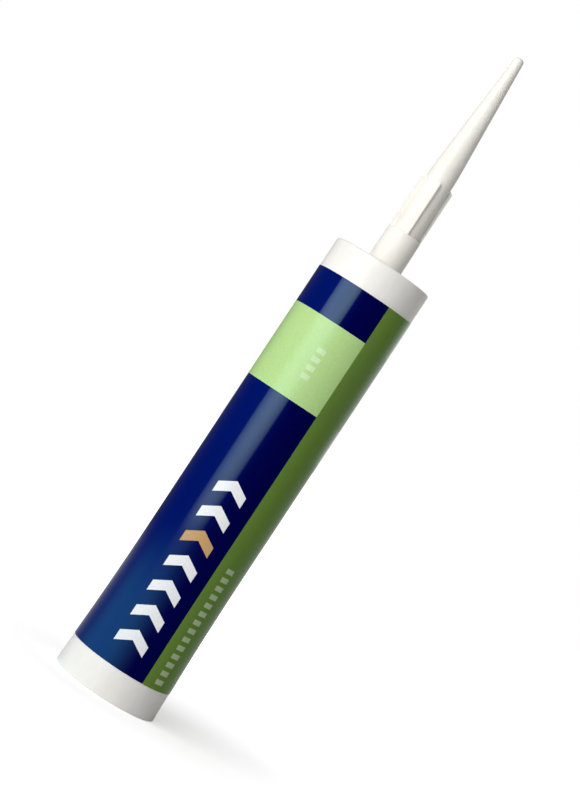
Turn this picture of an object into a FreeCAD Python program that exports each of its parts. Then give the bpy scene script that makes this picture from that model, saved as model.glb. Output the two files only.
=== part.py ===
import FreeCAD, Part
import math
import os
import Sketcher

# Caulk cartridge standing on its rear rim: a sealed barrel with a spout, the printed film round it, a
# ribbed nozzle on the spout, the paste and the plunger that pushes it. Millimetres, +Z towards the nozzle's
# tip, the origin at the centre of the rear rim, the print's front facing -Y.

SIZES = (
    ("barrel_r", 24.05, "outer radius of the straight barrel"),
    ("barrel_wall", 1.25, "wall of the barrel round the bore that the plunger runs in"),
    ("shoulder_z", 225.1, "height of the shoulder's top face"),
    ("shoulder_wall", 1.6, "thickness of the shoulder"),
    ("shoulder_round", 1.1, "rounding of the shoulder's outer corner"),
    ("shoulder_inner_round", 1.2, "rounding inside the shoulder's corner"),
    ("rim_out", 1.55, "how far the rear rim stands out from the barrel"),
    ("flare_height", 75, "length over which the barrel widens to its rim"),
    ("rim_round", 0.5, "rounding of the rim's two edges"),
    ("mouth_step", 0.8, "how much wider the mouth is than the bore, in radius"),
    ("mouth_depth", 10, "depth of the wider mouth"),
    ("mouth_lead", 2.5, "length of the cone from mouth to bore"),
    ("collar_edge", 0.3, "how far the low collar that the nozzle seats on stands out from its foot"),
    ("collar_height", 0.8, "height of that collar"),
    ("collar_round", 0.25, "rounding of the collar's edge"),
    ("spout_r", 6.55, "root radius of the spout's thread"),
    ("spout_length", 13, "height of the spout over the collar"),
    ("spout_wall", 1.55, "wall of the spout round its passage"),
    ("spout_round", 0.6, "rounding of the spout's end"),
    ("membrane", 0.8, "thickness of the web across the foot of the spout"),
    ("film_bottom", 14.3, "lower edge of the printed film"),
    ("film_top", 210.4, "upper edge of the printed film"),
    ("film_gap", 0.1, "glue line under the film"),
    ("film", 0.1, "thickness of the film"),
    ("film_overlap", 19, "angle in degrees that the film's end covers its start"),
    ("foot_edge", 0.72, "how far the nozzle's foot stands out from its skirt"),
    ("foot_height", 0.5, "height of the foot's edge"),
    ("foot_round", 0.7, "hollow rounding from the foot to the skirt"),
    ("skirt_wall", 1.13, "wall at the bottom of the skirt, over the root of its thread"),
    ("skirt_draft", 0.18, "how much narrower the top of the skirt is, in radius"),
    ("skirt_length", 16.8, "height of the skirt with its foot"),
    ("skirt_round", 0.3, "rounding of the skirt's top edge"),
    ("thread_room", 0.7, "room for the thread between the roots on spout and socket"),
    ("socket_clearance", 1.5, "room over the spout's end"),
    ("socket_lead", 0.5, "chamfer at the mouth of the socket"),
    ("neck_step", 1.4, "step from the top of the skirt in to the neck"),
    ("neck_length", 32.8, "length of the neck, from the skirt to the steep cone"),
    ("neck_taper", 0.45, "how much narrower the neck is at its upper end, in radius"),
    ("cone_length", 60.7, "length of the steep cone with its tip"),
    ("tip_r", 2.25, "outer radius under the rounded tip"),
    ("tip_round", 1.5, "rounding of the tip"),
    ("nozzle_wall", 1.05, "wall of the cone"),
    ("tip_wall", 2.4, "solid end of the uncut nozzle"),
    ("rib_inset", 0.05, "how far a grip rib's edge lies in from the top of the skirt"),
    ("rib_length", 27.1, "length of a grip rib over the skirt"),
    ("rib_slope", 1.2, "length of a grip rib's sloping end"),
    ("rib_width", 0.8, "width of a grip rib"),
    ("rib_count", 4, "number of grip ribs"),
    ("rib_turn", 6, "degrees that the ribs are turned from the axes, anticlockwise from above"),
    ("recess", 15, "depth of the plunger behind the rear rim"),
    ("lip_clearance", 0.1, "running gap between the lips and the bore"),
    ("plunger_height", 17.5, "height of the plunger"),
    ("plunger_gap", 0.95, "gap between the plunger's waist and the bore"),
    ("plunger_wall", 1.5, "wall of the plunger"),
    ("plunger_floor", 1.8, "thickness of the plunger's face"),
    ("lip_height", 1.3, "height of a sealing lip's edge"),
    ("lip_slope", 1.5, "height of the cone behind a sealing lip"),
    ("face_setback", 1.6, "distance from the plunger's face to its front lip"),
    ("face_taper", 1.1, "inward taper from the front lip to the face"),
    ("web_height", 6, "height of the webs over the plunger's floor"),
    ("web_width", 1.2, "width of a web"),
    ("web_count", 6, "number of webs"),
    ("hub_r", 6.2, "outer radius of the ring that the webs meet"),
    ("hub_bore_r", 4.8, "inner radius of that ring"),
    ("paste_gap", 0.1, "gap between the paste and the bore"),
    ("paste_seat", 0.3, "gap between the paste and the faces at its ends"),
)

doc = FreeCAD.newDocument("caulk_tube")
sheet = doc.addObject("Spreadsheet::Sheet", "sizes")
for row, (alias, value, note) in enumerate(SIZES, start=1):
    sheet.set(f"A{row}", note)
    sheet.set(f"B{row}", str(value))
    sheet.setAlias(f"B{row}", alias)
doc.recompute()


class Size:
    """A length worked out from the sheet, with the expression that keeps it tied there."""

    def __init__(self, value, text):
        self.value = value
        self.text = text

    def joined(self, sign, other, value):
        text = other.text if isinstance(other, Size) else str(other)
        return Size(value, f"({self.text} {sign} {text})")

    def __add__(self, other):
        return self.joined("+", other, self.value + number(other))

    def __sub__(self, other):
        return self.joined("-", other, self.value - number(other))

    def __mul__(self, other):
        return self.joined("*", other, self.value * number(other))

    def __truediv__(self, other):
        return self.joined("/", other, self.value / number(other))


def number(size):
    return size.value if isinstance(size, Size) else float(size)


def size(alias):
    return Size(float(sheet.get(alias)), f"sizes.{alias}")


def bind(thing, prop, value):
    """Set a property now and tie it to the sheet."""
    thing.setExpression(prop, value.text)


def new_body(label):
    body = doc.addObject("PartDesign::Body", label)
    body.Label = label
    return body


def flare_x(top_x, top_z, radius, z):
    """Radius of the trumpet curve at z: an arc that is upright at (top_x, top_z)."""
    return top_x + radius - math.sqrt(radius**2 - (top_z - z) ** 2)


def outline(body, name, corners, role="XZ_Plane", flares=None):
    """Closed outline in a plane through the axis.

    Each corner is (radius, height). flares gives, for the side that starts at a corner, the radius of an arc
    that is upright at its upper end. The radius at its lower end follows from that and is written as None.
    """
    flares = flares or {}
    sketch = body.newObject("Sketcher::SketchObject", name)
    plane = next(f for f in body.Origin.OriginFeatures if f.Role == role)
    sketch.AttachmentSupport = [(plane, "")]
    sketch.MapMode = "FlatFace"
    count = len(corners)
    points = [FreeCAD.Vector(0 if x is None else number(x), number(z), 0) for x, z in corners]
    starts = [1] * count
    uprights = set()
    for side in range(count):
        after = (side + 1) % count
        if side not in flares:
            continue
        low, high = sorted((side, after), key=lambda corner: points[corner].y)
        radius = number(flares[side])
        points[low].x = flare_x(points[high].x, points[high].y, radius, points[low].y)
        uprights.add(high)
        if low == side:
            starts[side] = 2
    for side in range(count):
        start, end = points[side], points[(side + 1) % count]
        if side in flares:
            radius = number(flares[side])
            top = max(start, end, key=lambda point: point.y)
            circle = Part.Circle(top + FreeCAD.Vector(radius, 0, 0), FreeCAD.Vector(0, 0, 1), radius)
            sweep = math.asin(abs(end.y - start.y) / radius)
            sketch.addGeometry(Part.ArcOfCircle(circle, math.pi, math.pi + sweep), False)
        else:
            sketch.addGeometry(Part.LineSegment(start, end), False)
    for corner in range(count):
        before = (corner - 1) % count
        kind = "Tangent" if corner in uprights else "Coincident"
        ends = (before, 3 - starts[before], corner, starts[corner])
        sketch.addConstraint(Sketcher.Constraint(kind, *ends))
    for corner, (x, z) in enumerate(corners):
        vertex = (corner, starts[corner])
        for prop, axis, value in (("DistanceX", -2, x), ("DistanceY", -1, z)):
            if value is None:
                continue
            if not isinstance(value, Size):
                sketch.addConstraint(Sketcher.Constraint("PointOnObject", *vertex, axis))
                continue
            index = sketch.addConstraint(Sketcher.Constraint(prop, -1, 1, *vertex, value.value))
            bind(sketch, f"Constraints[{index}]", value)
    for side, radius in flares.items():
        index = sketch.addConstraint(Sketcher.Constraint("Radius", side, radius.value))
        bind(sketch, f"Constraints[{index}]", radius)
    doc.recompute()
    return sketch


def revolve(body, name, sketch):
    turned = body.newObject("PartDesign::Revolution", name)
    turned.Profile = sketch
    turned.ReferenceAxis = (sketch, ["V_Axis"])
    turned.Angle = 360
    doc.recompute()
    return turned


def round_rings(body, name, base, radius, rings):
    """Round the circular edges of base that lie at each (radius, height)."""
    names = []
    for index, edge in enumerate(base.Shape.Edges, start=1):
        curve = edge.Curve
        if not isinstance(curve, Part.Circle) or abs(curve.Axis.z) < 0.999:
            continue
        for ring_r, ring_z in rings:
            if abs(curve.Radius - number(ring_r)) < 1e-4 and abs(curve.Center.z - number(ring_z)) < 1e-4:
                names.append(f"Edge{index}")
    rounding = body.newObject("PartDesign::Fillet", name)
    rounding.Base = (base, names)
    bind(rounding, "Radius", radius)
    doc.recompute()
    return rounding


def ring_of_ribs(body, name, sketch, width, count):
    """Pad one rib to both sides of its plane and repeat it round the axis."""
    rib = body.newObject("PartDesign::Pad", f"{name}_rib")
    rib.Profile = sketch
    rib.Midplane = True
    bind(rib, "Length", width)
    doc.recompute()
    ring = body.newObject("PartDesign::PolarPattern", f"{name}_ring")
    ring.Originals = [rib]
    ring.Axis = (sketch, ["V_Axis"])
    ring.Angle = 360
    bind(ring, "Occurrences", count)
    body.Tip = ring
    doc.recompute()
    return ring


barrel_r = size("barrel_r")
bore_r = barrel_r - size("barrel_wall")
rim_out = size("rim_out")
rim_r = barrel_r + rim_out
mouth_r = bore_r + size("mouth_step")
shoulder_z = size("shoulder_z")
collar_top = shoulder_z + size("collar_height")
ceiling_z = shoulder_z - size("shoulder_wall")
flare_height = size("flare_height")
flare_radius = (flare_height * flare_height + rim_out * rim_out) / (rim_out * 2)
spout_r = size("spout_r")
spout_bore_r = spout_r - size("spout_wall")
spout_end = collar_top + size("spout_length")
socket_r = spout_r + size("thread_room")
skirt_r = socket_r + size("skirt_wall")
foot_r = skirt_r + size("foot_edge")
collar_r = foot_r + size("collar_edge")


# Barrel: one moulding. Its rear end widens in a long trumpet curve to a thick rim, the mouth inside is a
# little wider than the bore, and a thin web closes the foot of the spout until it is pierced.
barrel = new_body("barrel")
mouth_end = size("mouth_depth") + size("mouth_lead")
wall = outline(
    barrel,
    "barrel_section",
    (
        (None, 0),
        (barrel_r, flare_height),
        (barrel_r, shoulder_z),
        (collar_r, shoulder_z),
        (collar_r, collar_top),
        (spout_r, collar_top),
        (spout_r, spout_end),
        (spout_bore_r, spout_end),
        (spout_bore_r, ceiling_z + size("membrane")),
        (0, ceiling_z + size("membrane")),
        (0, ceiling_z),
        (bore_r, ceiling_z),
        (bore_r, mouth_end),
        (mouth_r, size("mouth_depth")),
        (mouth_r, 0),
    ),
    flares={0: flare_radius},
)
turned = revolve(barrel, "barrel_wall", wall)
corner = round_rings(barrel, "shoulder_edge", turned, size("shoulder_round"), [(barrel_r, shoulder_z)])
inner = round_rings(barrel, "ceiling_edge", corner, size("shoulder_inner_round"), [(bore_r, ceiling_z)])
rim = round_rings(barrel, "rim_edges", inner, size("rim_round"), [(rim_r, 0), (mouth_r, 0)])
collar = round_rings(barrel, "collar_rim", rim, size("collar_round"), [(collar_r, collar_top)])
round_rings(barrel, "spout_edge", collar, size("spout_round"), [(spout_r, spout_end)])


# Label: a printed film glued round the barrel, which leaves both ends bare. Its end laps over its start down
# the back.
label = new_body("label")
film_in = barrel_r + size("film_gap")
film_out = film_in + size("film")
lap_in = film_in + size("film") / 2
lap_out = film_out + size("film")
film_bottom = size("film_bottom")
film_top = size("film_top")


def film_outline(name, inside, outside, role):
    return outline(
        label,
        name,
        (
            (None, film_bottom),
            (outside, flare_height),
            (outside, film_top),
            (inside, film_top),
            (inside, flare_height),
            (None, film_bottom),
        ),
        role=role,
        flares={0: flare_radius - (outside - barrel_r), 4: flare_radius - (inside - barrel_r)},
    )


revolve(label, "film", film_outline("film_section", film_in, film_out, "XZ_Plane"))
lap_section = film_outline("lap_section", lap_in, lap_out, "YZ_Plane")
lap = revolve(label, "lap", lap_section)
lap.Midplane = True
bind(lap, "Angle", size("film_overlap"))


# Nozzle: one moulding, as sold with its tip uncut. A threaded skirt seats on the collar, four ribs give grip
# over it, and the long cone is hollow up to its solid tip.
nozzle = new_body("nozzle")
skirt_top = collar_top + size("skirt_length")
socket_end = spout_end + size("socket_clearance")
foot_top = collar_top + size("foot_height")
skirt_foot = foot_top + size("foot_round")
skirt_top_r = skirt_r - size("skirt_draft")
neck_r = skirt_top_r - size("neck_step")
knee_r = neck_r - size("neck_taper")
knee_z = skirt_top + size("neck_length")
tip_r = size("tip_r")
tip_z = knee_z + size("cone_length")
hollow_end = tip_z - size("tip_wall")
nozzle_wall = size("nozzle_wall")
shell = outline(
    nozzle,
    "nozzle_section",
    (
        (socket_r + size("socket_lead"), collar_top),
        (foot_r, collar_top),
        (foot_r, foot_top),
        (skirt_r, foot_top),
        (skirt_top_r, skirt_top),
        (neck_r, skirt_top),
        (knee_r, knee_z),
        (tip_r, tip_z),
        (0, tip_z),
        (0, hollow_end),
        (tip_r - nozzle_wall, hollow_end),
        (knee_r - nozzle_wall, knee_z),
        (neck_r - nozzle_wall, socket_end),
        (socket_r, socket_end),
        (socket_r, collar_top + size("socket_lead")),
    ),
)
cone = revolve(nozzle, "cone", shell)
tip = round_rings(nozzle, "tip_edge", cone, size("tip_round"), [(tip_r, tip_z)])
foot = round_rings(nozzle, "foot_hollow", tip, size("foot_round"), [(skirt_r, foot_top)])
round_rings(nozzle, "skirt_edge", foot, size("skirt_round"), [(skirt_top_r, skirt_top)])
rib_r = skirt_top_r - size("rib_inset")
rib_root = neck_r - nozzle_wall / 2
rib_top = skirt_top + size("rib_length")
rib_bottom = skirt_top - size("skirt_round")
rib_section = outline(
    nozzle,
    "grip_section",
    (
        (rib_root, rib_bottom),
        (rib_r - size("skirt_round"), rib_bottom),
        (rib_r, skirt_top),
        (rib_r, rib_top - size("rib_slope")),
        (knee_r, rib_top),
        (knee_r - nozzle_wall / 2, rib_top),
    ),
)
ring_of_ribs(nozzle, "grip", rib_section, size("rib_width"), size("rib_count"))
turn = size("rib_turn")
upright = FreeCAD.Vector(0, 0, 1)
nozzle.Placement = FreeCAD.Placement(FreeCAD.Vector(), FreeCAD.Rotation(upright, turn.value))
nozzle.setExpression("Placement.Rotation.Angle", turn.text)


# Plunger: a thin cup open to the rear, with a sealing lip at each end, and webs that carry the push on its
# floor out to the wall. Its own height runs from its open end.
plunger = new_body("plunger")
height = size("plunger_height")
lip_r = bore_r - size("lip_clearance")
waist_r = bore_r - size("plunger_gap")
cup_r = waist_r - size("plunger_wall")
lip = size("lip_height")
slope = size("lip_slope")
front_lip = height - size("face_setback")
floor_z = height - size("plunger_floor")
cup = outline(
    plunger,
    "plunger_section",
    (
        (cup_r + size("plunger_gap"), 0),
        (lip_r, 0),
        (lip_r, lip),
        (waist_r, lip + slope),
        (waist_r, front_lip - lip - slope),
        (lip_r, front_lip - lip),
        (lip_r, front_lip),
        (lip_r - size("face_taper"), height),
        (0, height),
        (0, floor_z),
        (cup_r, floor_z),
        (cup_r, lip + slope),
    ),
)
revolve(plunger, "cup", cup)
hub = outline(
    plunger,
    "hub_section",
    (
        (size("hub_bore_r"), floor_z - size("web_height")),
        (size("hub_r"), floor_z - size("web_height")),
        (size("hub_r"), floor_z + size("plunger_floor") / 2),
        (size("hub_bore_r"), floor_z + size("plunger_floor") / 2),
    ),
)
revolve(plunger, "hub", hub)
web_inner = (size("hub_r") + size("hub_bore_r")) / 2
web_outer = cup_r + size("plunger_wall") / 2
web_section = outline(
    plunger,
    "web_section",
    (
        (web_inner, floor_z - size("web_height")),
        (web_outer, floor_z - size("web_height")),
        (web_outer, floor_z + size("plunger_floor") / 2),
        (web_inner, floor_z + size("plunger_floor") / 2),
    ),
)
ring_of_ribs(plunger, "web", web_section, size("web_width"), size("web_count"))
recess = size("recess")
plunger.Placement = FreeCAD.Placement(FreeCAD.Vector(0, 0, recess.value), FreeCAD.Rotation())
plunger.setExpression("Placement.Base.z", recess.text)


# Sealant: the paste that fills the barrel from the plunger's face to the shoulder.
sealant = new_body("sealant")
paste_r = bore_r - size("paste_gap")
paste_bottom = recess + height + size("paste_seat")
paste_top = ceiling_z - size("paste_seat")
fill = outline(
    sealant,
    "paste_section",
    ((0, paste_bottom), (paste_r, paste_bottom), (paste_r, paste_top), (0, paste_top)),
)
paste = revolve(sealant, "paste", fill)
round_rings(sealant, "paste_edge", paste, size("shoulder_inner_round"), [(paste_r, paste_top)])

doc.recompute()
for thing in doc.Objects:
    if "Invalid" in thing.State or "Error" in thing.State:
        raise RuntimeError(f"{thing.Name} failed: {thing.State}")
os.makedirs("parts", exist_ok=True)
for body in (barrel, label, nozzle, plunger, sealant):
    shape = body.Shape
    if shape.isNull() or not shape.isValid() or len(shape.Solids) != 1:
        raise RuntimeError(f"{body.Label} is not one valid solid")
    shape.exportStep(f"parts/{body.Label}.step")
    print(body.Label, round(shape.Volume), shape.BoundBox)
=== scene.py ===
import math

import bmesh
import bpy
from mathutils import Matrix, Vector


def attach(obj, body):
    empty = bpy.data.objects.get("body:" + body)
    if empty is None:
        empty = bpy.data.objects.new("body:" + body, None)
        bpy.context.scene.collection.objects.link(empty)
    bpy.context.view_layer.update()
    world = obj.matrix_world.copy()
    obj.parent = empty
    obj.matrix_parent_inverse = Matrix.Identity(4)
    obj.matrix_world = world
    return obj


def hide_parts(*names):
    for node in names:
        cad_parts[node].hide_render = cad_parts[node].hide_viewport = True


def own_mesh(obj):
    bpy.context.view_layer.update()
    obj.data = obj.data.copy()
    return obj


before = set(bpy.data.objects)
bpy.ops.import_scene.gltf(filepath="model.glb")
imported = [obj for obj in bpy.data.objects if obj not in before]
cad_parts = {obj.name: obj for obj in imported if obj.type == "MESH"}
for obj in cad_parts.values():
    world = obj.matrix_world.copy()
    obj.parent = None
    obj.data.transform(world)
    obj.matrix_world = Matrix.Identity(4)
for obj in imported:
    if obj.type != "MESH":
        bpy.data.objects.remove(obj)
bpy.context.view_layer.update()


# Barrel: one white moulding in high-density polyethylene. Its rear end widens in a long trumpet curve to a
# thick rim, the mouth is turned out a little wider than the bore, and the flat shoulder carries a collar and
# a threaded spout with a thin web across its foot. Sizes here and below are in millimetres and degrees.
mm = 0.001
round_steps = 192
weld_distance = 1e-6
barrel_r = 24.05
bore_r = 22.8
shoulder_z = 225.1
ceiling_z = 223.5
web_top = 224.3
collar_r = 9.4
collar_top = 225.9
spout_r = 6.55
spout_bore_r = 5
spout_end = 238.9
mouth_r = 23.6
mouth_end = 10
bore_start = 12.5
rim_r = 25.59
rim_round = 0.5
flare_top = 75
flare_r = (flare_top**2 + (rim_r - barrel_r) ** 2) / (2 * (rim_r - barrel_r))
thread_pitch = 2.5
thread_steps = 96
spout_crest_r = 7.05


def wire(mesh, start, corners):
    """Carries a wire on from a vertex through (radius, height, rounding) corners."""
    rounded = []
    vert = start
    for radius, height, rounding in corners:
        after = mesh.verts.new((radius * mm, 0, height * mm))
        mesh.edges.new((vert, after))
        vert = after
        if rounding:
            rounded.append((vert, rounding))
    return vert, rounded


def round_corners(mesh, rounded):
    """Rounds the corners of a wire, each by its own offset."""
    for vert, rounding in rounded:
        bmesh.ops.bevel(
            mesh,
            geom=[vert],
            offset=rounding * mm,
            offset_type="OFFSET",
            segments=5,
            profile=0.5,
            affect="VERTICES",
            material=-1,
        )


def trumpet(mesh, start, turn, steps):
    """Carries a wire on from the top of the flare down its curve, by a turn about the curve's centre."""
    return bmesh.ops.spin(
        mesh,
        geom=[start],
        cent=((barrel_r + flare_r) * mm, 0, flare_top * mm),
        axis=(0, 1, 0),
        dvec=(0, 0, 0),
        angle=-turn,
        space=Matrix(),
        steps=steps,
    )


def spin_about_axis(mesh, geom, turn, steps, rise=0, closed=False):
    """Spins geometry round the object's axis by a turn in radians."""
    return bmesh.ops.spin(
        mesh,
        geom=geom,
        cent=(0, 0, 0),
        axis=(0, 0, 1),
        dvec=(0, 0, rise * mm / steps),
        angle=turn,
        space=Matrix(),
        steps=steps,
        use_merge=closed,
    )


def spin_whole(mesh, steps=round_steps):
    """Spins a wire once round the axis and closes its seam and its poles."""
    spin_about_axis(mesh, mesh.verts[:] + mesh.edges[:], math.tau, steps, closed=True)
    bmesh.ops.remove_doubles(mesh, verts=mesh.verts, dist=weld_distance)
    bmesh.ops.recalc_face_normals(mesh, faces=mesh.faces)


def thread(root, crest, bottom, top, inward):
    """A screw ridge round the axis that fades out over its last half turn at both ends."""
    foot_half, crest_half, sunk = 0.75, 0.3, 0.15
    mesh = bmesh.new()
    buried = root + sunk if inward else root - sunk
    section = (
        (buried, -foot_half),
        (root, -foot_half),
        (crest, -crest_half),
        (crest, crest_half),
        (root, foot_half),
        (buried, foot_half),
    )
    loop = [mesh.verts.new((radius * mm, 0, (bottom + height) * mm)) for radius, height in section]
    for vert, after in zip(loop, loop[1:] + loop[:1]):
        mesh.edges.new((vert, after))
    turns = (top - bottom) / thread_pitch
    steps = round(turns * thread_steps)
    spin_about_axis(mesh, mesh.verts[:] + mesh.edges[:], math.tau * turns, steps, rise=top - bottom)
    bmesh.ops.holes_fill(mesh, edges=mesh.edges, sides=len(section))
    bmesh.ops.recalc_face_normals(mesh, faces=mesh.faces)
    for vert in mesh.verts:
        angle = math.atan2(vert.co.y, vert.co.x) / math.tau
        height = (vert.co.z / mm - bottom) / thread_pitch
        turned = angle + round(height - angle)
        fade = min(1, max(0, 2 * turned), max(0, 2 * (turns - turned)))
        eased = fade * fade * (3 - 2 * fade)
        radius = vert.co.xy.length / mm
        vert.co.xy *= (buried + (radius - buried) * eased) / radius
    return mesh


def join(mesh, other):
    """Adds another mesh to this one."""
    held = bpy.data.meshes.new("held")
    other.to_mesh(held)
    other.free()
    mesh.from_mesh(held)
    bpy.data.meshes.remove(held)


def piece(name, mesh, material, body, weighted=True):
    """Makes the finished object, which rides on its body and takes the material it is given."""
    sharp_from = 34
    data = bpy.data.meshes.new(name)
    mesh.to_mesh(data)
    mesh.free()
    data.shade_smooth()
    data.set_sharp_from_angle(angle=math.radians(sharp_from))
    data.materials.append(material)
    made = bpy.data.objects.new(name, data)
    bpy.context.scene.collection.objects.link(made)
    if weighted:
        even = made.modifiers.new("even_shading", "WEIGHTED_NORMAL")
        even.keep_sharp = True
    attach(made, body)
    return made


def srgb(red, green, blue_painted_shade):
    """A colour as seen on screen, 0 to 255, as the shader wants it."""
    shown = [channel / 255 for channel in (red, green, blue_painted_shade)]
    return [c / 12.92 if c <= 0.04045 else ((c + 0.055) / 1.055) ** 2.4 for c in shown] + [1]


def set_inputs(tree, node, inputs):
    """Gives each input of a node its value, or links it to the socket that feeds it."""
    for socket, value in inputs.items():
        if isinstance(value, bpy.types.NodeSocket):
            tree.links.new(value, node.inputs[socket])
        else:
            node.inputs[socket].default_value = value


def add_node(tree, kind, inputs=None, **settings):
    """Adds a shader node with its settings and its inputs."""
    node = tree.nodes.new("ShaderNode" + kind)
    for name, value in settings.items():
        setattr(node, name, value)
    set_inputs(tree, node, inputs or {})
    return node


def noise(tree, place, scale, detail, **more):
    inputs = {"Vector": place, "Scale": scale, "Detail": detail, **more}
    return add_node(tree, "TexNoise", inputs).outputs["Fac"]


def mapped(tree, value, low, high, to_low=0, to_high=1):
    """Maps a value from one range to another and stops at its ends."""
    inputs = {"Value": value, "From Min": low, "From Max": high, "To Min": to_low, "To Max": to_high}
    return add_node(tree, "MapRange", inputs).outputs["Result"]


def mixed(tree, share, first, second):
    """Mixes two colours."""
    inputs = {"Factor": share, "A": first, "B": second}
    return add_node(tree, "Mix", inputs, data_type="RGBA").outputs["Result"]


def relief(tree, height, depth, under=None):
    """Relief from a height, its depth in metres, laid over another relief where one is given."""
    inputs = {"Strength": 1, "Distance": depth, "Height": height}
    if under:
        inputs["Normal"] = under
    return add_node(tree, "Bump", inputs).outputs["Normal"]


def new_material(name):
    """A material with its node tree and its Principled shader."""
    material = bpy.data.materials.new(name)
    material.use_nodes = True
    return material, material.node_tree, material.node_tree.nodes["Principled BSDF"]


def moulded_skin():
    """Skin of a moulded plastic: a fine cavity grain, slow flow waves, and a mottle in colour and gloss."""
    group = bpy.data.node_groups.new("moulded skin", "ShaderNodeTree")
    for name, way, kind in (
        ("Colour", "INPUT", "NodeSocketColor"),
        ("Mottle colour", "INPUT", "NodeSocketColor"),
        ("Smooth", "INPUT", "NodeSocketFloat"),
        ("Rough", "INPUT", "NodeSocketFloat"),
        ("Grain depth", "INPUT", "NodeSocketFloat"),
        ("Wave depth", "INPUT", "NodeSocketFloat"),
        ("Colour", "OUTPUT", "NodeSocketColor"),
        ("Roughness", "OUTPUT", "NodeSocketFloat"),
        ("Normal", "OUTPUT", "NodeSocketVector"),
    ):
        group.interface.new_socket(name, in_out=way, socket_type=kind)
    given = group.nodes.new("NodeGroupInput").outputs
    place = add_node(group, "TexCoord").outputs["Object"]
    drawn_out = add_node(group, "Mapping", {"Vector": place, "Scale": (1, 1, 0.3)}).outputs["Vector"]
    grain = noise(group, place, 2600, 1)
    wave = noise(group, drawn_out, 90, 2)
    spots = noise(group, drawn_out, 260, 3, Roughness=0.6)
    mottle = mapped(group, spots, 0.35, 0.7)
    waves = relief(group, wave, given["Wave depth"])
    out = {
        "Colour": mixed(group, mottle, given["Colour"], given["Mottle colour"]),
        "Roughness": mapped(group, wave, 0, 1, given["Smooth"], given["Rough"]),
        "Normal": relief(group, grain, given["Grain depth"], under=waves),
    }
    set_inputs(group, group.nodes.new("NodeGroupOutput"), out)
    return group


skin = moulded_skin()


def moulded(name, colour, mottle, smooth, rough, grain, waves):
    """A moulded plastic: its two near colours, its gloss from smooth to rough, and its relief in metres."""
    material, tree, shader = new_material(name)
    look = {
        "Colour": colour,
        "Mottle colour": mottle,
        "Smooth": smooth,
        "Rough": rough,
        "Grain depth": grain,
        "Wave depth": waves,
    }
    surface = add_node(tree, "Group", look, node_tree=skin).outputs
    finish = {"Base Color": surface["Colour"], "Roughness": surface["Roughness"], "Normal": surface["Normal"]}
    set_inputs(tree, shader, {"IOR": 1.5, **finish})
    return material


barrel_plastic = moulded(
    "white barrel plastic",
    colour=srgb(244, 242, 237),
    mottle=srgb(239, 237, 231),
    smooth=0.32,
    rough=0.42,
    grain=0.000004,
    waves=0.00002,
)
barrel_mesh = bmesh.new()
web_middle = barrel_mesh.verts.new((0, 0, web_top * mm))
flare_start, rounded = wire(
    barrel_mesh,
    web_middle,
    (
        (spout_bore_r, web_top, 0.2),
        (spout_bore_r, spout_end, 0.25),
        (spout_r, spout_end, 0.6),
        (spout_r, collar_top, 0.2),
        (collar_r, collar_top, 0.25),
        (collar_r, shoulder_z, 0.25),
        (barrel_r, shoulder_z, 0.8),
        (barrel_r, flare_top, 0),
    ),
)
flare = trumpet(barrel_mesh, flare_start, math.asin(flare_top / flare_r), steps=14)
rim_corner = next(v for v in flare["geom_last"] if isinstance(v, bmesh.types.BMVert))
inside = wire(
    barrel_mesh,
    rim_corner,
    (
        (mouth_r, 0, rim_round),
        (mouth_r, mouth_end, 0.6),
        (bore_r, bore_start, 0.6),
        (bore_r, ceiling_z, 1.2),
        (0, ceiling_z, 0),
    ),
)[1]
round_corners(barrel_mesh, [*rounded, (rim_corner, rim_round), *inside])
spin_whole(barrel_mesh)
join(barrel_mesh, thread(spout_r, spout_crest_r, collar_top + 1.6, spout_end - 1.5, inward=False))
barrel = piece("barrel_moulding", barrel_mesh, barrel_plastic, "tube")
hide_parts("barrel")


# Label: a printed film glued round the barrel, cut straight at both ends. It is wound on from the back, and
# its green end laps over its blue start there, which it climbs within a few degrees.
film = 0.1
film_r = barrel_r + 0.1
film_bottom = 14.3
film_top = 210.4
lap = 19
lap_climb = 4
lap_clearance = 0.25 * film
panel_bottom = 153.0
panel_top = 191.5
stripe_start = 29
chevron_foot = 28.3
chevron_spacing = 12.9
chevron_stroke = 5.2
chevron_count = 7
chevron_half = 7.3
chevron_slope = 0.6
gold_chevron = 4
middle_line = -1.6


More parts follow.
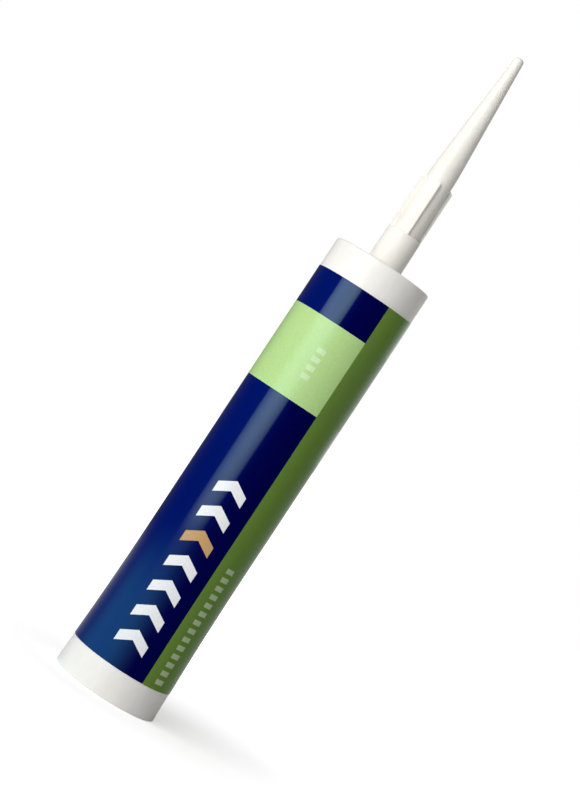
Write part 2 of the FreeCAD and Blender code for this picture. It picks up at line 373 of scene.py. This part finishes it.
def printed_film():
    """Gloss print in colour fields by angle round the barrel and height up it, with painted shade on its
    blue.
    """
    material, tree, shader = new_material("printed film")

    def calc(operation, first, second=0):
        """One step of arithmetic on numbers or on other steps."""
        return add_node(tree, "Math", {0: first, 1: second}, operation=operation).outputs["Value"]

    def between(value, low, high):
        return calc("MULTIPLY", calc("GREATER_THAN", value, low), calc("LESS_THAN", value, high))

    def printed(below, ink, where):
        """Lays an ink over what is printed so far, where the mask is 1."""
        return mixed(tree, where, below, ink)

    place = add_node(tree, "TexCoord").outputs["Object"]
    point = add_node(tree, "SeparateXYZ", {"Vector": place}).outputs
    height = calc("MULTIPLY", point["Z"], 1 / mm)
    front = calc("ARCTAN2", point["X"], calc("MULTIPLY", point["Y"], -1))
    around = calc("MULTIPLY", front, film_r)
    seam = math.radians(lap / 2 - 180)
    wound = calc("FLOORED_MODULO", calc("SUBTRACT", front, seam), math.tau)

    panel = between(height, panel_bottom, panel_top)
    stripe = calc("GREATER_THAN", wound, math.radians(stripe_start) - seam)
    # Painted shade: the blue darkens from the front towards the right, the side turned away from the softbox.
    blue_painted_shade = printed(srgb(1, 18, 97), srgb(1, 2, 70), mapped(tree, around, -10, 1))
    paint = printed(blue_painted_shade, srgb(180, 216, 141), panel)
    paint = printed(paint, srgb(106, 139, 60), stripe)

    from_middle = calc("ABSOLUTE", calc("SUBTRACT", around, middle_line))
    over_foot = calc("SUBTRACT", height, chevron_foot)
    climb = calc("ADD", over_foot, calc("MULTIPLY", from_middle, chevron_slope))
    number = calc("FLOOR", calc("DIVIDE", climb, chevron_spacing))
    stroke = calc("LESS_THAN", calc("FLOORED_MODULO", climb, chevron_spacing), chevron_stroke)
    row = calc(
        "MULTIPLY",
        between(number, -0.5, chevron_count - 0.5),
        calc("LESS_THAN", from_middle, chevron_half),
    )
    gold = between(number, gold_chevron - 0.5, gold_chevron + 0.5)
    chevron_ink = printed(srgb(236, 238, 240), srgb(196, 158, 108), gold)
    paint = printed(paint, chevron_ink, calc("MULTIPLY", row, stroke))

    def ticks(low, high, near, far, spacing, thickness):
        """A row of short bars up the tube, between two heights and two distances round it."""
        over_low = calc("SUBTRACT", height, low)
        tick = calc("LESS_THAN", calc("FLOORED_MODULO", over_low, spacing), thickness)
        field = calc("MULTIPLY", between(height, low, high), between(around, near, far))
        return calc("MULTIPLY", field, tick)

    paint = printed(paint, srgb(178, 196, 156), ticks(17, 78, 17.4, 22.1, 4.4, 2.4))
    paint = printed(paint, srgb(200, 228, 174), ticks(163.8, 179.3, -4.3, -0.3, 4.3, 2.4))

    cover = mapped(tree, noise(tree, place, 900, 2), 0.3, 0.7, 0.97, 1.03)
    inked = add_node(tree, "VectorMath", {0: paint, "Scale": cover}, operation="SCALE")
    drawn_out = add_node(tree, "Mapping", {"Vector": place, "Scale": (1, 1, 0.25)}).outputs["Vector"]
    slack = noise(tree, drawn_out, 60, 1)
    gloss = mapped(tree, slack, 0, 1, 0.07, 0.12)
    finish = {
        "IOR": 1.5,
        "Specular Tint": (0.6, 0.95, 1, 1),
        "Base Color": inked.outputs["Vector"],
        "Roughness": calc("ADD", gloss, calc("MULTIPLY", panel, 0.16)),
        "Normal": relief(tree, slack, 0.000012),
    }
    set_inputs(tree, shader, finish)
    return material


film_mesh = bmesh.new()
first = film_mesh.verts.new((film_r * mm, 0, film_top * mm))
flare_start = wire(film_mesh, first, ((film_r, flare_top, 0),))[0]
film_flare_r = flare_r - (film_r - barrel_r)
trumpet(film_mesh, flare_start, math.asin((flare_top - film_bottom) / film_flare_r), steps=12)
start_turn = Matrix.Rotation(math.radians(90 - lap / 2), 3, "Z")
bmesh.ops.rotate(film_mesh, cent=(0, 0, 0), matrix=start_turn, verts=film_mesh.verts)
edge_on = film_mesh.verts[:] + film_mesh.edges[:]
wound_on = spin_about_axis(film_mesh, edge_on, math.radians(360 - lap_climb), steps=188)
under = set(film_mesh.verts)
spin_about_axis(film_mesh, wound_on["geom_last"], math.radians(lap + lap_climb), steps=14)
for vert in film_mesh.verts:
    if vert in under:
        continue
    past = math.degrees(math.atan2(vert.co.y, vert.co.x)) - (90 - lap / 2 - lap_climb)
    lift = (film + lap_clearance) * min(1, past / lap_climb)
    vert.co.xy *= 1 + lift * mm / vert.co.xy.length
bmesh.ops.recalc_face_normals(film_mesh, faces=film_mesh.faces)
bmesh.ops.solidify(film_mesh, geom=film_mesh.faces[:], thickness=-film * mm)
# Given its thickness outwards, the film comes out inside out.
bmesh.ops.reverse_faces(film_mesh, faces=film_mesh.faces[:])
label = piece("printed_label", film_mesh, printed_film(), "tube")
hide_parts("label")


# Nozzle: one white moulding in polyethylene, sold with its tip uncut. A threaded skirt screws onto the spout
# and seats on the collar, four thin fins give grip over it, and the long cone is hollow up to its solid tip.
foot_r = 9.1
foot_top = 226.4
skirt_r = 8.38
skirt_top_r = 8.2
skirt_top = 242.7
socket_r = 7.25
socket_crest_r = 7.13
socket_lead = 0.5
socket_end = 240.4
neck_r = 6.8
knee_r = 6.35
knee_z = 275.5
tip_r = 2.25
tip_z = 336.2
nozzle_wall = 1.05
hollow_end = 333.8
fin_r = 8.15
fin_top = 269.8
fin_slope = 1.2
fin_width = 0.8
fin_chamfer = 0.3
fin_sunk = 0.5
fin_turns = (6, 96, 186, 276)


def soften_edges(mesh, offset):
    """Rounds all edges of a part that is added to a moulding."""
    bmesh.ops.bevel(
        mesh,
        geom=mesh.edges[:],
        offset=offset * mm,
        offset_type="OFFSET",
        segments=3,
        profile=0.5,
        affect="EDGES",
        material=-1,
    )


def join_turned(mesh, part, turn):
    """Turns a part round the axis by an angle in radians and adds it to a moulding."""
    bmesh.ops.rotate(part, cent=(0, 0, 0), matrix=Matrix.Rotation(turn, 3, "Z"), verts=part.verts)
    join(mesh, part)


nozzle_plastic = moulded(
    "white nozzle plastic",
    colour=srgb(246, 243, 236),
    mottle=srgb(241, 237, 228),
    smooth=0.38,
    rough=0.5,
    grain=0.0000015,
    waves=0.00003,
)
nozzle_mesh = bmesh.new()
tip_middle = nozzle_mesh.verts.new((0, 0, tip_z * mm))
rounded = wire(
    nozzle_mesh,
    tip_middle,
    (
        (tip_r, tip_z, 1.5),
        (knee_r, knee_z, 3),
        (neck_r, skirt_top, 0.25),
        (skirt_top_r, skirt_top, 0.3),
        (skirt_r, foot_top, 0.65),
        (foot_r, foot_top, 0.12),
        (foot_r, collar_top, 0.12),
        (socket_r + socket_lead, collar_top, 0.1),
        (socket_r, collar_top + socket_lead, 0.1),
        (socket_r, socket_end, 0.3),
        (neck_r - nozzle_wall, socket_end, 0.3),
        (knee_r - nozzle_wall, knee_z, 3),
        (tip_r - nozzle_wall, hollow_end, 0.6),
        (0, hollow_end, 0),
    ),
)[1]
round_corners(nozzle_mesh, rounded)
spin_whole(nozzle_mesh, steps=128)
join(nozzle_mesh, thread(socket_r, socket_crest_r, collar_top + 1.5, spout_end - 0.3, inward=True))
for turn in fin_turns:
    fin = bmesh.new()
    corners = (
        (neck_r - fin_sunk, skirt_top - fin_chamfer),
        (fin_r - fin_chamfer, skirt_top - fin_chamfer),
        (fin_r, skirt_top),
        (fin_r, fin_top - fin_slope),
        (knee_r, fin_top),
        (knee_r - fin_sunk, fin_top),
    )
    outline = [fin.verts.new((radius * mm, -fin_width / 2 * mm, height * mm)) for radius, height in corners]
    side = bmesh.ops.contextual_create(fin, geom=outline)["faces"]
    pushed = bmesh.ops.extrude_face_region(fin, geom=side, use_keep_orig=True)["geom"]
    moved = [v for v in pushed if isinstance(v, bmesh.types.BMVert)]
    bmesh.ops.translate(fin, vec=(0, fin_width * mm, 0), verts=moved)
    bmesh.ops.recalc_face_normals(fin, faces=fin.faces)
    soften_edges(fin, 0.15)
    join_turned(nozzle_mesh, fin, math.radians(turn))
nozzle = piece("nozzle_moulding", nozzle_mesh, nozzle_plastic, "nozzle")
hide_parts("nozzle")


# Plunger: a thin cup of soft low-density polyethylene, pushed into the bore by hand behind the paste. Two
# lips wipe the bore, and six webs carry the push of the gun's plate from the hub ring out to the wall.
lip_r = 22.7
lip_edge = 1.3
lip_end = 2.8
waist_r = 21.85
cup_r = 20.35
foot_z = 15
face_z = 32.5
face_taper = 1.1
front_lip = face_z - 1.6
floor_z = 30.7
hub_r = 6.2
hub_bore_r = 4.8
web_foot = 24.7
web_head = 31.5
web_width = 1.2
web_count = 6

plunger_plastic = moulded(
    "soft plunger plastic",
    colour=srgb(232, 232, 227),
    mottle=srgb(224, 225, 219),
    smooth=0.35,
    rough=0.5,
    grain=0.000005,
    waves=0.00004,
)
plunger_mesh = bmesh.new()
face_middle = plunger_mesh.verts.new((0, 0, face_z * mm))
rounded = wire(
    plunger_mesh,
    face_middle,
    (
        (lip_r - face_taper, face_z, 0.5),
        (lip_r, front_lip, 0.2),
        (lip_r, front_lip - lip_edge, 0.2),
        (waist_r, front_lip - lip_end, 0.3),
        (waist_r, foot_z + lip_end, 0.3),
        (lip_r, foot_z + lip_edge, 0.2),
        (lip_r, foot_z, 0.25),
        (cup_r + 0.95, foot_z, 0.25),
        (cup_r, foot_z + lip_end, 0.5),
        (cup_r, floor_z, 0.8),
        (0, floor_z, 0),
    ),
)[1]
round_corners(plunger_mesh, rounded)
spin_whole(plunger_mesh)
hub = bmesh.new()
first = hub.verts.new((hub_bore_r * mm, 0, web_head * mm))
last, rounded = wire(
    hub,
    first,
    ((hub_bore_r, web_foot, 0.25), (hub_r, web_foot, 0.25), (hub_r, web_head, 0)),
)
hub.edges.new((last, first))
round_corners(hub, rounded)
spin_whole(hub, steps=96)
join(plunger_mesh, hub)
web_inner = (hub_bore_r + hub_r) / 2
web_outer = cup_r + 0.7
for number in range(web_count):
    web = bmesh.new()
    bmesh.ops.create_cube(web, size=mm)
    bmesh.ops.scale(web, vec=(web_outer - web_inner, web_width, web_head - web_foot), verts=web.verts)
    middle = ((web_outer + web_inner) / 2 * mm, 0, (web_head + web_foot) / 2 * mm)
    bmesh.ops.translate(web, vec=middle, verts=web.verts)
    soften_edges(web, 0.2)
    join_turned(plunger_mesh, web, math.tau * number / web_count)
plunger = piece("plunger_cup", plunger_mesh, plunger_plastic, "plunger")
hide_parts("plunger")


# Sealant: white acrylic paste, pumped in at the factory so that it fills the bore from the plunger's face to
# the shoulder.
paste_r = 22.7
paste_foot = 32.8
paste_head = 223.2


def wet_paste():
    """Smooth wet paste with small pits and soft streaks from the filling nozzle."""
    material, tree, shader = new_material("white acrylic paste")
    place = add_node(tree, "TexCoord").outputs["Object"]
    swirl = noise(tree, place, 120, 4, Distortion=0.8)
    finish = {
        "IOR": 1.45,
        "Base Color": mixed(tree, swirl, srgb(240, 239, 235), srgb(229, 228, 222)),
        "Roughness": mapped(tree, swirl, 0, 1, 0.16, 0.34),
        "Normal": relief(tree, swirl, 0.00015),
    }
    set_inputs(tree, shader, finish)
    return material


paste_mesh = bmesh.new()
foot_middle = paste_mesh.verts.new((0, 0, paste_foot * mm))
rounded = wire(
    paste_mesh,
    foot_middle,
    ((paste_r, paste_foot, 0.5), (paste_r, paste_head, 1.2), (0, paste_head, 0)),
)[1]
round_corners(paste_mesh, rounded)
spin_whole(paste_mesh, steps=96)
paste = piece("acrylic_paste", paste_mesh, wet_paste(), "tube", weighted=False)
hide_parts("sealant")
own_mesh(paste)


# Studio: a pale seamless floor under a white surround, with a large softbox at the front left that draws the
# broad streak down the print. Below the streak the print mirrors the table, a painted pool of light on the
# floor.
# The floor is one-sided and open under the tube, so that light and a low camera reach the open rear end.
floor_r = 6
floor_opening = 25.3 * mm
floor_steps = 96
table_bearing = 52


def combined(tree, operation, first, second):
    return add_node(tree, "Math", {0: first, 1: second}, operation=operation).outputs["Value"]


def either(tree, share, first, second):
    """One shader or the other."""
    return add_node(tree, "MixShader", {"Fac": share, 1: first, 2: second}).outputs["Shader"]


world = bpy.data.worlds.new("surround")
bpy.context.scene.world = world
world.use_nodes = True
tree = world.node_tree
tree.nodes.clear()
way = add_node(tree, "TexCoord").outputs["Generated"]
toward = add_node(tree, "SeparateXYZ", {"Vector": way}).outputs
behind = mapped(tree, toward["Y"], 0.1, 0.9, 0, 0.47)
more_right = mapped(tree, toward["X"], -0.3, 0.3, 0.15, 1)
more_left = mapped(tree, toward["X"], -1, 1, 0.44, 0.18)
from_below = mapped(tree, toward["Z"], -0.05, -0.3, 0, 0.85)
ambient, mirrored, white = [
    add_node(tree, "Background", {"Color": (1, 1, 1, 1), "Strength": strength}).outputs["Background"]
    for strength in (
        combined(tree, "MAXIMUM", more_left, from_below),
        combined(tree, "MULTIPLY", behind, more_right),
        1,
    )
]
rays = add_node(tree, "LightPath").outputs
lighting = either(tree, rays["Is Glossy Ray"], ambient, mirrored)
seen = either(tree, rays["Is Camera Ray"], lighting, white)
add_node(tree, "OutputWorld", {"Surface": seen})

floor_mesh = bmesh.new()
for radius in (floor_r, floor_opening):
    bmesh.ops.create_circle(floor_mesh, segments=floor_steps, radius=radius)
bmesh.ops.bridge_loops(floor_mesh, edges=floor_mesh.edges[:])
for face in floor_mesh.faces:
    face.normal_update()
    if face.normal.z < 0:
        face.normal_flip()
floor_data = bpy.data.meshes.new("studio_floor")
floor_mesh.to_mesh(floor_data)
floor_mesh.free()
floor = bpy.data.objects.new("studio_floor", floor_data)
bpy.context.scene.collection.objects.link(floor)

paper, tree, shader = new_material("pale seamless paper")
set_inputs(tree, shader, {"Base Color": srgb(240, 240, 240), "Roughness": 0.9, "Specular IOR Level": 0})
rays = add_node(tree, "LightPath").outputs
place = add_node(tree, "TexCoord").outputs["Object"]
reach = add_node(tree, "VectorMath", {0: place}, operation="LENGTH").outputs["Value"]
fade = mapped(tree, reach, 0.03, 0.32, 0.4, 1)
to_camera = combined(tree, "MULTIPLY", fade, rays["Is Camera Ray"])
glow = add_node(tree, "Emission", {"Strength": to_camera}).outputs["Emission"]
lit_paper = add_node(tree, "AddShader", {0: shader.outputs["BSDF"], 1: glow}).outputs["Shader"]

# Painted light: to glossy rays the floor glows cyan towards the front left, as if lit by the softbox, grey
# behind.
bearing = add_node(tree, "VectorMath", {0: place}, operation="NORMALIZE").outputs["Vector"]
lamp_way = (-math.sin(math.radians(table_bearing)), -math.cos(math.radians(table_bearing)), 0)
to_lamp = add_node(tree, "VectorMath", {0: bearing, 1: lamp_way}, operation="DOT_PRODUCT").outputs["Value"]
lit = mapped(tree, to_lamp, 0.3, 0.92)
depth = add_node(tree, "SeparateXYZ", {"Vector": bearing}).outputs["Y"]
far_side = mapped(tree, depth, 0.1, 0.8)
painted_table_light = {
    "Color": mixed(tree, lit, (0.4, 0.4, 0.4, 1), (0.3, 1.1, 1.4, 1)),
    "Strength": combined(tree, "MAXIMUM", lit, far_side),
}
painted_table_glow = add_node(tree, "Emission", painted_table_light).outputs["Emission"]
beyond = add_node(tree, "BsdfTransparent").outputs["BSDF"]
mirrored = either(tree, mapped(tree, reach, 0.95, 0.6), beyond, painted_table_glow)
upper_side = either(tree, rays["Is Glossy Ray"], lit_paper, mirrored)
backfacing = add_node(tree, "NewGeometry").outputs["Backfacing"]
one_sided = either(tree, backfacing, upper_side, beyond)
set_inputs(tree, tree.nodes["Material Output"], {"Surface": one_sided})
floor_data.materials.append(paper)


def softbox(name, azimuth, elevation, distance, size, power):
    """A soft lamp, dimmer towards its edges: azimuth from the front to the right, aimed at the middle."""
    aim = Vector((0, 0, 0.13))
    lamp = bpy.data.lights.new(name, "AREA")
    lamp.shape = "RECTANGLE"
    lamp.size, lamp.size_y = size
    lamp.energy = power
    lamp.use_nodes = True
    tree = lamp.node_tree
    cloth = add_node(tree, "NewGeometry").outputs["Parametric"]
    centre = (0.5, 0.5, 0)
    off_centre = add_node(tree, "VectorMath", {0: cloth, 1: centre}, operation="DISTANCE").outputs["Value"]
    bright_within, dim_beyond = 0.35, 0.675
    bright, dim = 1.3, 0.26
    dimmed = mapped(tree, off_centre, bright_within, dim_beyond, bright, dim)
    set_inputs(tree, tree.nodes["Emission"], {"Strength": dimmed})
    stand = bpy.data.objects.new(name, lamp)
    bpy.context.scene.collection.objects.link(stand)
    turn, lift = math.radians(azimuth), math.radians(elevation)
    level = distance * math.cos(lift)
    spot = aim + Vector((level * math.sin(turn), -level * math.cos(turn), distance * math.sin(lift)))
    stand.location = spot
    stand.rotation_euler = (aim - spot).to_track_quat("-Z", "Y").to_euler()
    stand.visible_camera = False


softbox("key_softbox", azimuth=-36, elevation=22, distance=1.0, size=(0.96, 1.08), power=8.1)
softbox("back_fill", azimuth=152, elevation=24, distance=1.3, size=(1.6, 1.2), power=2.0)

camera_data = bpy.data.cameras.new("camera")
camera_data.sensor_width = 36
camera_data.lens = 101.7
camera = bpy.data.objects.new("camera", camera_data)
bpy.context.scene.collection.objects.link(camera)
level_view = Matrix.Rotation(math.radians(90), 4, "X")
roll = Matrix.Rotation(math.radians(33.41), 4, "Z")
camera.matrix_world = Matrix.Translation((-0.00207, -1.006, 0.1529)) @ level_view @ roll
bpy.context.scene.camera = camera
bpy.context.scene.view_settings.view_transform = "Standard"
